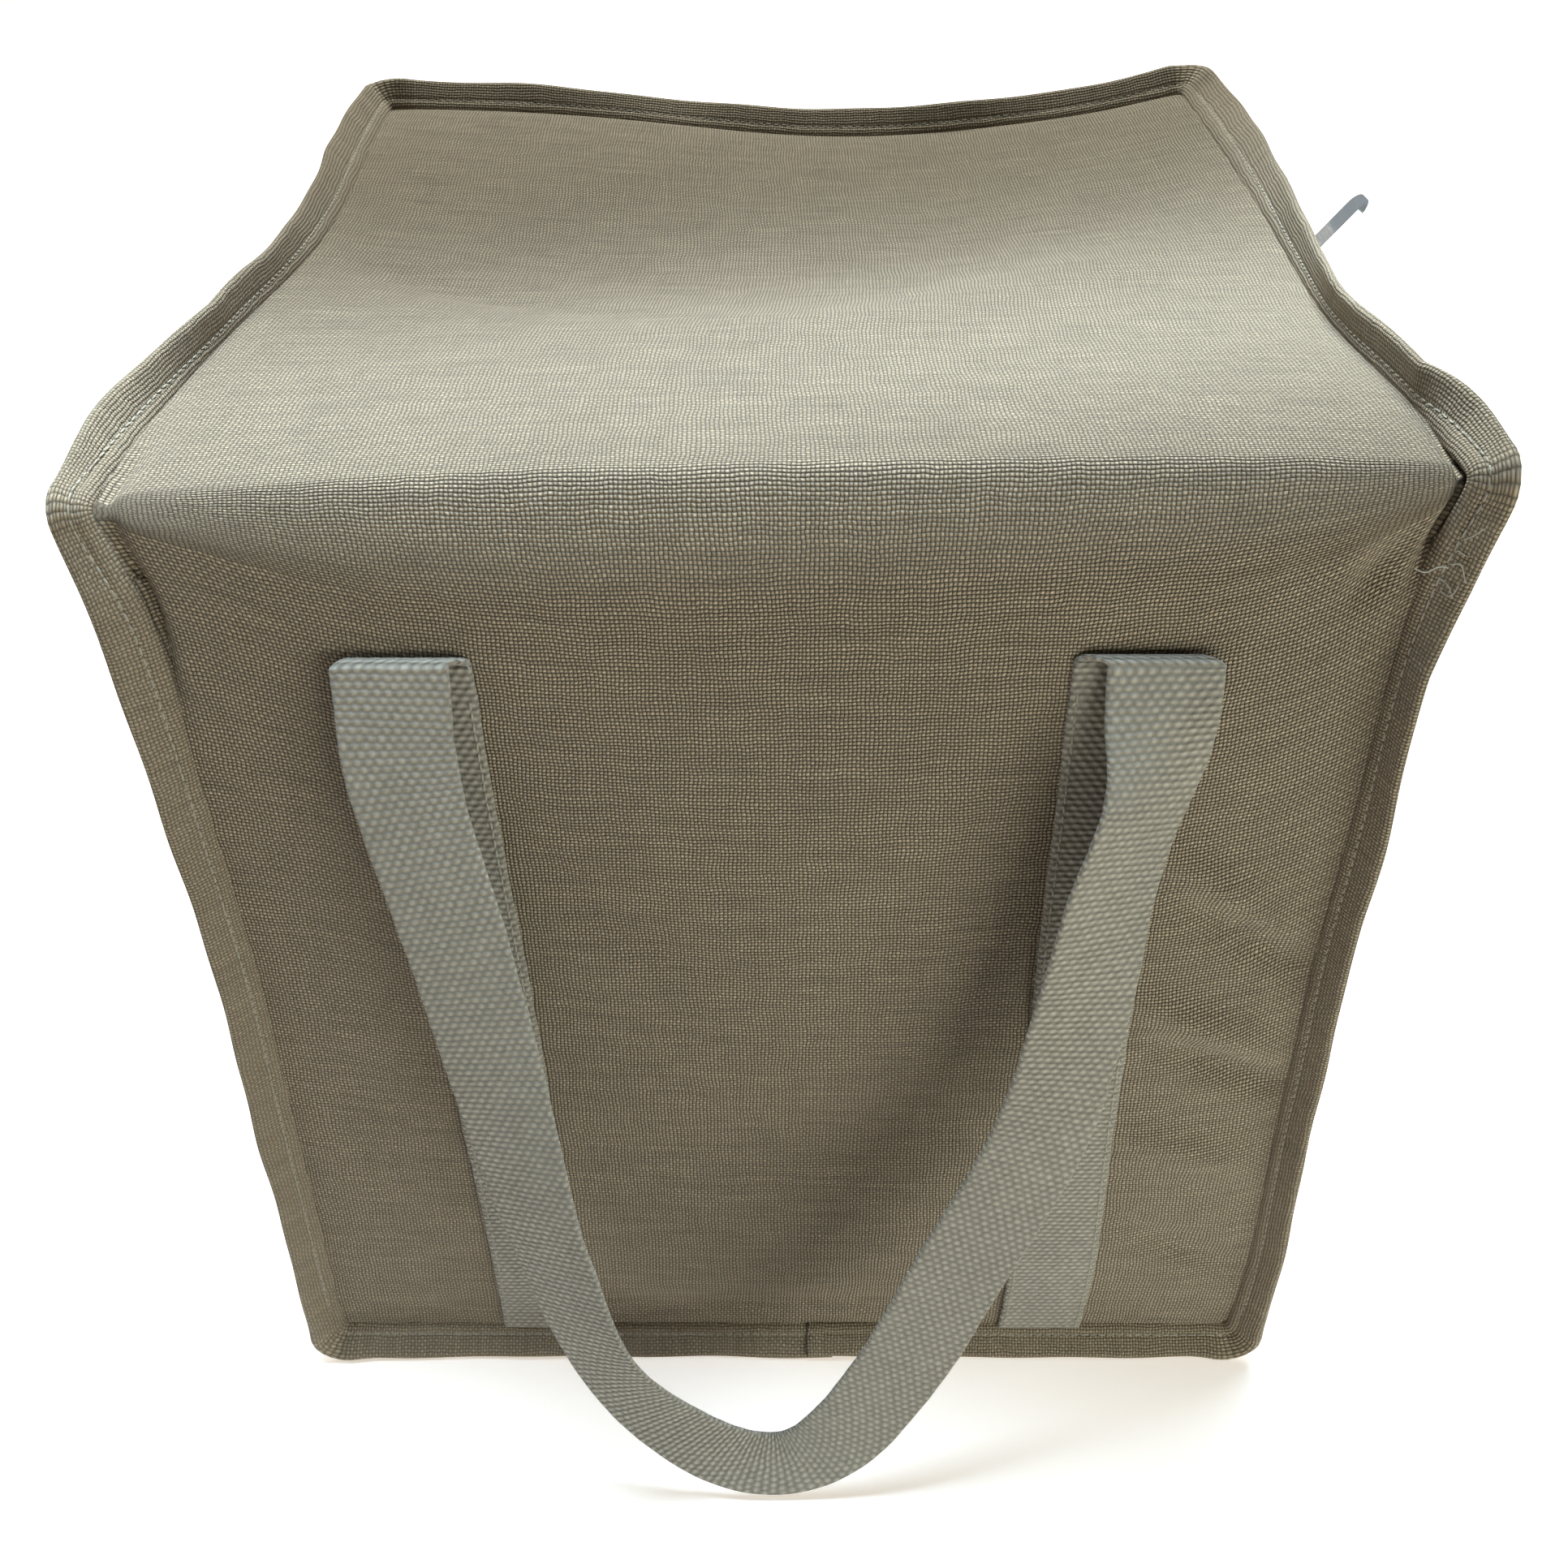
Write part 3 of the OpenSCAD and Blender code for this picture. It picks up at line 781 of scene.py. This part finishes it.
def loose_threads(shell):
    """Frayed ends at the right end of the fold, where two rows of stitching meet."""
    rng = np.random.default_rng(12)
    thread_r, sides, count = 0.17, 5, 14
    a = np.linspace(0, 2 * np.pi, sides, endpoint=False)[:, None]
    for z, reach, drop in ((330, 7, 2), (327, 5, -3), (323, 4, -5), (333, 3, 4), (326, -9, 1), (320, 3, 3)):
        root = form(np.array([HX + 1.7, -HY - 4.4, z])) + rng.normal(0, 0.4, 3)
        turn = rng.uniform(-1.5, 1.5, 3)
        steps = ((0, 0, 0), (reach * 0.35, -1.6, drop * 0.1 + turn[0]),
                 (reach * 0.7, -2.6, drop * 0.6 + turn[1]), (reach, -2.2, drop))
        line = spline([root + step for step in steps], count)
        way = tangents(line)
        side = unit(np.cross(way, [0.1, 1, 0.2]))
        up = np.cross(side, way)
        ring = line[:, None] + thread_r * (side[:, None] * np.cos(a) + up[:, None] * np.sin(a))
        shell.tube(ring, np.linspace(0, 0.001, sides + 1), np.linspace(0, 0.01, count), kind=THREAD)


def add_cover_binding():
    run = cover_run()
    turned = [((-HX, -HY, SEAM_Z), 24, 1.5), ((HX, -HY, SEAM_Z), -24, 1.5), ((-HX, HY, HZ), 20, 1.3),
              ((HX, HY, HZ), 20, 1.3)]
    length = sum(np.linalg.norm(np.subtract(b[0], a[0])) for a, b in zip(run, run[1:]))
    wider = [(-HX, -HY, SEAM_Z, 1.5, 9), (HX, -HY, SEAM_Z, 1.5, 9), (HX, -HY, HZ - 3, -1.6, 20),
             (-HX, -HY, HZ - 3, -3.4, 20), (HX, 115, HZ, 1.6, 50), (-HX, 115, HZ, 1.3, 50)]

    def widths(path):
        away = [np.linalg.norm(path[:, :3] - spot[:3], axis=1) for spot in wider]
        return sum(spot[3] * np.exp(-(d / spot[4]) ** 2) for spot, d in zip(wider, away))

    overlap = (length - 26, length + 9, 1.3)
    pts, u, v, line = sweep_fin(run, step=1.2, widths=widths, mitres=turned, raised=[overlap], seed=3)
    shell = Shell()
    shell.tube(pts, u, v)
    fin_stitches(shell, line, seed=5)
    loose_threads(shell)
    piece = shell.build("cover_binding", LOOKS["binding"], LOOKS["thread"])
    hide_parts("front_left_binding", "front_right_binding", "front_bottom_binding",
                "lid_left_binding", "lid_right_binding", "lid_back_binding")
    blend_at_fold(piece)


def add_bin_binding(name, run, radius, seed, *nodes):
    pts, u, v, line = sweep_fin(corner(run, radius), step=2.0, seed=seed)
    shell = Shell()
    shell.tube(pts, u, v)
    fin_stitches(shell, line, seed)
    piece = shell.build(name, LOOKS["binding"], LOOKS["thread"])
    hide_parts(*nodes)
    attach(piece, "bin")


def add_bin_bindings():
    for side, name in ((-1, "left"), (1, "right")):
        run = [((side * HX, HY, SEAM_Z + 8), (side, 1, 0)), ((side * HX, HY, WALL_TOP), (side, 1, 0))]
        add_bin_binding(f"back_{name}_edge", run, 0, 11 + side, f"back_{name}_binding")
    low = SEAM_Z
    run = [((-HX, -HY + 8, low), (-1, 0, -1)), ((-HX, HY - 12, low), (-1, 0, -1)),
           ((-HX, HY, low), (-0.8, 0.8, -1)), ((-HX + 12, HY, low), (0, 1, -1)),
           ((HX - 12, HY, low), (0, 1, -1)), ((HX, HY, low), (0.8, 0.8, -1)),
           ((HX, HY - 12, low), (1, 0, -1)), ((HX, -HY + 8, low), (1, 0, -1))]
    add_bin_binding("base_edge", run, [0, 0, 4, 0, 0, 4, 0, 0], 21,
                    "left_bottom_binding", "back_bottom_binding", "right_bottom_binding")


# ---------------------------------------------------------------- zip
def zip_line(out, front_y):
    """The zip's way round the left, back and right sides, out from the walls by some mm."""
    x, y = HX + out, HY + out
    plan = (-x, front_y), (-x, y), (x, y), (x, front_y)
    rounded = corner([((*place, 0), (0, 0, 1)) for place in plan], [0, 4, 4, 0])
    return resample(np.array([p for p, _ in rounded]), 2.0)


def add_zip_tape(name, z0, z1, front_y, body, node):
    path, t = zip_line(-0.5, front_y)
    rise = np.array([z0, (z0 * 2 + z1) / 3, (z0 + z1 * 2) / 3, z1])
    thick = 0.8
    side = unit(np.cross(tangents(path), [0, 0, 1]))
    up, out = np.r_[rise, rise[::-1]], np.repeat([1, -1], 4) * thick / 2
    pts = np.stack([path + [0, 0, r] + side * s for r, s in zip(up, out)], 1)
    shell = Shell()
    shell.tube(form(pts), around(up, out) * MM, t * MM)
    piece = shell.build(name, LOOKS["tape"])
    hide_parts(node)
    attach(piece, body)


def add_zip_coil(name, z0, z1, front_y, body, node, head):
    """Turns of a plastic coil along the tape's edge; head is the side that meets the other row."""
    path, t = zip_line(0.9, front_y)
    way = tangents(path)
    side = unit(np.cross(way, [0, 0, 1]))
    mid, half = (z0 + z1) / 2, (z1 - z0) / 2
    wire_r, pitch, end_gap = 0.34, 1.55, 0.8
    a = np.linspace(0, 2 * np.pi, 12, endpoint=False)[:, None]
    tube = np.linspace(0, 2 * np.pi, 5, endpoint=False)[None, :, None]
    vertical = np.array([0, 0, 1])
    shell = Shell()
    for c in np.arange(end_gap, t[-1] - end_gap, pitch):
        p = at_distance(c, t, path) + [0, 0, mid + head * 0.1]
        w, s = unit(at_distance(c, t, way)), unit(at_distance(c, t, side))
        centre = p + np.cos(a) * (half - 0.35) * vertical + np.sin(a) * 0.62 * s + 0.35 * np.sin(a) * w
        radial = unit(np.cos(a) * vertical + np.sin(a) * s)
        pts = centre[:, None] + wire_r * (np.cos(tube) * radial[:, None] + np.sin(tube) * w)
        pts = np.concatenate([pts, pts[:1]])
        n, m = pts.shape[:2]
        shell.grid(form(pts), np.linspace(0, 0.002, m + 1), np.linspace(0, 0.006, n), wrap=True)
    piece = shell.build(name, LOOKS["coil"])
    weld(piece)
    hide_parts(node)
    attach(piece, body)


def weld(obj):
    work = bmesh.new()
    work.from_mesh(obj.data)
    bmesh.ops.remove_doubles(work, verts=work.verts, dist=1e-6)
    work.to_mesh(obj.data)
    work.free()


def add_zip():
    front = -HY + 8
    tall = LOWER_TAPE_TOP - LOWER_COIL_FOOT
    add_zip_tape("zip_tape_lower", WALL_TOP - 3, LOWER_TAPE_TOP, front - 6, "bin", "lower_zip_tape")
    add_zip_tape("zip_tape_upper", UPPER_TAPE_FOOT, HZ + 1, front - 3, "lid", "upper_zip_tape")
    add_zip_coil("zip_coil_lower", LOWER_COIL_FOOT, LOWER_TAPE_TOP + 0.3, front, "bin", "lower_zip_coil", 1)
    add_zip_coil("zip_coil_upper", UPPER_TAPE_FOOT - 0.3, UPPER_TAPE_FOOT + tall, front + 3, "lid",
                 "upper_zip_coil", -1)
    for node in ("zip_slider", "zip_pull"):
        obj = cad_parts[node]
        obj.data.materials.clear()
        obj.data.materials.append(LOOKS["metal"])
        bevel = obj.modifiers.new("edges", "BEVEL")
        bevel.width, bevel.segments, bevel.limit_method = 0.35 * MM, 3, "ANGLE"


# ---------------------------------------------------------------- webbing
def strap_section():
    """Outline of the webbing across its width, with a rounded selvedge."""
    half = STRAP_W / 2
    flat = np.linspace(-half + 1.7, half - 1.7, 15)
    x = np.r_[-half, -half + 0.3, -half + 0.9, flat, half - 0.9, half - 0.3, half]
    thick = np.r_[0.0, 0.55, 0.85, np.full(len(flat), 0.8), 0.85, 0.55, 0.0] * STRAP_T / 1.6
    return np.r_[x, x[-2:0:-1]], np.r_[thick, -thick[-2:0:-1]]


def ribbon(line, across, parts):
    """Sweeps the webbing section along a line of points with its width along `across`.

    parts: (shell, first, last) stretches of the line, each of them a closed solid of its shell."""
    t = distances(line)
    way = tangents(line)
    level = np.abs(across[:, :1]) > 0.9999
    wide = np.where(level, across, unit(across - way * (across * way).sum(-1, keepdims=True)))
    face = unit(np.cross(wide, way))
    x, h = strap_section()
    wave = 0.14 * np.sin(t / 5.1) * np.sin(t / 17.0 + 1) + 0.05 * np.sin(t / 1.7)
    edge = np.sign(x) * (np.abs(x) > STRAP_W / 2 - 1)
    pts = line[:, None] + wide[:, None] * (x + edge * wave[:, None])[..., None] + face[:, None] * h[:, None]
    for shell, first, last in parts:
        shell.tube(pts[first:last + 1], around(x, h) * MM, t[first:last + 1] * MM)
    return wide, face, way, t


def spline(points, count):
    """A smooth line through control points, with every column interpolated (Catmull-Rom)."""
    p = np.asarray(points, float)
    p = np.vstack([2 * p[0] - p[1], p, 2 * p[-1] - p[-2]])
    t = np.linspace(0, len(p) - 3 - 1e-9, count)
    i = t.astype(int)
    f = (t - i)[:, None]
    a, b, c, d = p[i], p[i + 1], p[i + 2], p[i + 3]
    return 0.5 * (2 * b + (c - a) * f + (2 * a - 5 * b + 4 * c - d) * f**2 + (3 * b - a - 3 * c + d) * f**3)


def leg_line(x_top, x_foot, side):
    """Centre line of the sewn strap on the panel, from the foot up to just under the fold."""
    top = STRAP_TOP - STRAP_T / 2 - TURN_R
    top += top - form(np.array([x_top, side * HY, top]))[2]
    z = np.linspace(SEAM_Z + 1, top, 190)
    x = x_foot + (x_top - x_foot) * smooth(z, 0, STRAP_TOP)
    if side < 0:
        y = -HY - front_relief(x, z) - STRAP_SIT
    else:
        y = HY + wall_relief(x, z, HX, 1) + STRAP_SIT
    return form(np.stack([x, y, z], -1))


def turn_over(foot, x_end, side, lean):
    """The fold from the top of the sewn leg, over and out to where the strap starts to hang."""
    a = np.linspace(0, math.pi - lean, 16)[1:]
    x = foot[0] + (x_end - foot[0]) * smooth(a, 0, math.pi - lean)
    return np.stack([x, foot[1] + side * TURN_R * (1 - np.cos(a)), foot[2] + TURN_R * np.sin(a)], -1)


def hanging(loop, left_end, right_end, side, lean):
    """The loop's centre line and width directions, hung between the two folds."""
    down = np.array([0, side * math.sin(lean), -math.cos(lean)])
    outward = np.array([0, side * math.cos(lean), math.sin(lean)])
    ctrl = spline(loop, 400)
    share = ((ctrl[:, :1] - left_end[0]) / (right_end[0] - left_end[0])).clip(0, 1)
    start = left_end * (1 - share) + right_end * share
    line = start * [0, 1, 1] + ctrl[:, :1] * [1, 0, 0] + ctrl[:, 1:2] * down + ctrl[:, 3:] * outward
    flow = unit(np.gradient(ctrl[:, :2], axis=0))
    wide = flow[:, 1:2] * np.array([-1.0, 0, 0]) + flow[:, :1] * down
    twist = np.radians(ctrl[:, 2:3])
    return resample(np.hstack([line, wide * np.cos(twist) + outward * np.sin(twist)]), 1.5)[0]


def add_strap(name, side, body, legs, loop, *nodes):
    """Left leg, fold, hanging loop, fold and right leg as one length of webbing.

    legs: x at the top and at the foot of each; loop: control points (x, drop, twist, out) in the hanging
    plane, left to right, the twist in degrees."""
    lean = math.radians(LEAN)
    left, right = leg_line(*legs[0], side), leg_line(*legs[1], side)
    over_l = turn_over(left[-1], loop[0][0], side, lean)
    over_r = turn_over(right[-1], loop[-1][0], side, lean)
    hang = hanging(loop, over_l[-1], over_r[-1], side, lean)
    line = np.vstack([left, over_l, hang[1:-1, :3], over_r[::-1], right[::-1]])
    before, after = len(left) + len(over_l), len(over_r) + len(right)
    wide = np.vstack([np.tile([-1.0, 0, 0], (before, 1)), hang[1:-1, 3:], np.tile([1.0, 0, 0], (after, 1))])
    sewn_shell, loop_shell = Shell(), Shell()
    top_l, top_r = len(left) - 1, len(line) - len(right)
    parts = (sewn_shell, 0, top_l), (loop_shell, top_l, top_r), (sewn_shell, top_r, len(line) - 1)
    wide, face, way, t = ribbon(line, wide, parts)
    for low, high in ((0, top_l - 5), (top_r + 6, len(line))):   # the stitches stop just under the folds
        edge_stitches(sewn_shell, [part[low:high] for part in (line, wide, face, way)], side)
    t = t * MM
    sewn = sewn_shell.build(name + "_sewn", LOOKS["webbing"], LOOKS["thread"])
    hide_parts(*nodes[:2])
    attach(sewn, "bin")
    hung = loop_shell.build(name + "_loop", LOOKS["webbing"])
    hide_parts(nodes[2])
    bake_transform(hung)


def edge_stitches(shell, part, side):
    """Stitch rows just inside both edges of a sewn leg."""
    line, wide, face, way = part
    for edge in (-1, 1):
        facing = face * np.sign(face[:, 1:2] * side)
        at = line + wide * edge * (STRAP_W / 2 - 2) + facing * STRAP_T / 2
        stitch_line(shell, at, way, facing, 31 + edge)


FRONT_LOOP = [(-97.8, 0, 0, 0), (-98, 10, 0, 0), (-98.2, 24, 0, 0), (-96.3, 43, -2, 0),
              (-89, 82, -5, 0), (-82, 127, -11, 0), (-75, 175, -23, 0), (-69.8, 199, -27, 0),
              (-63.4, 226, -29, 0), (-56, 245, -26, 0), (-45.5, 261.3, -17, 0), (-33.3, 274.4, -9, 0),
              (-21, 284, -4, 0), (-9, 288.8, 0, 0), (2.5, 288.6, 0, 0), (12.8, 283.2, 0, 0),
              (21.5, 273.6, 0, 0), (29.3, 261, 0, 0), (41, 238, 0, 0), (54.5, 204, 0, 0),
              (75.5, 151, -4, 0), (84.5, 104, -14, 0), (88.3, 70, -25, 1.2), (92.6, 49, -30, 1.6),
              (95.2, 38, -28, 1.5), (96.8, 26, -18, 1), (96.6, 12, -4, 0.4), (96.2, 0, 0, 0)]


def mirrored(loop):
    """The same loop for the back, a little shorter, and without twist near the folds."""
    return [(-x, d * 0.972, t * float(smooth(d, 90, 170)), 0) for x, d, t, _ in loop[::-1]]


def add_straps():
    add_strap("front_strap", -1, "front_handle", ((-94.5, -86), (90.5, 91)), FRONT_LOOP,
              "front_left_strap", "front_right_strap", "front_handle_loop")
    add_strap("back_strap", 1, "back_handle", ((-93.5, -91.5), (94, 90)), mirrored(FRONT_LOOP),
              "back_left_strap", "back_right_strap", "back_handle_loop")


add_camera()
add_floor()
add_light()
add_cover()
add_walls()
add_base()
add_cover_binding()
add_bin_bindings()
add_zip()
add_straps()
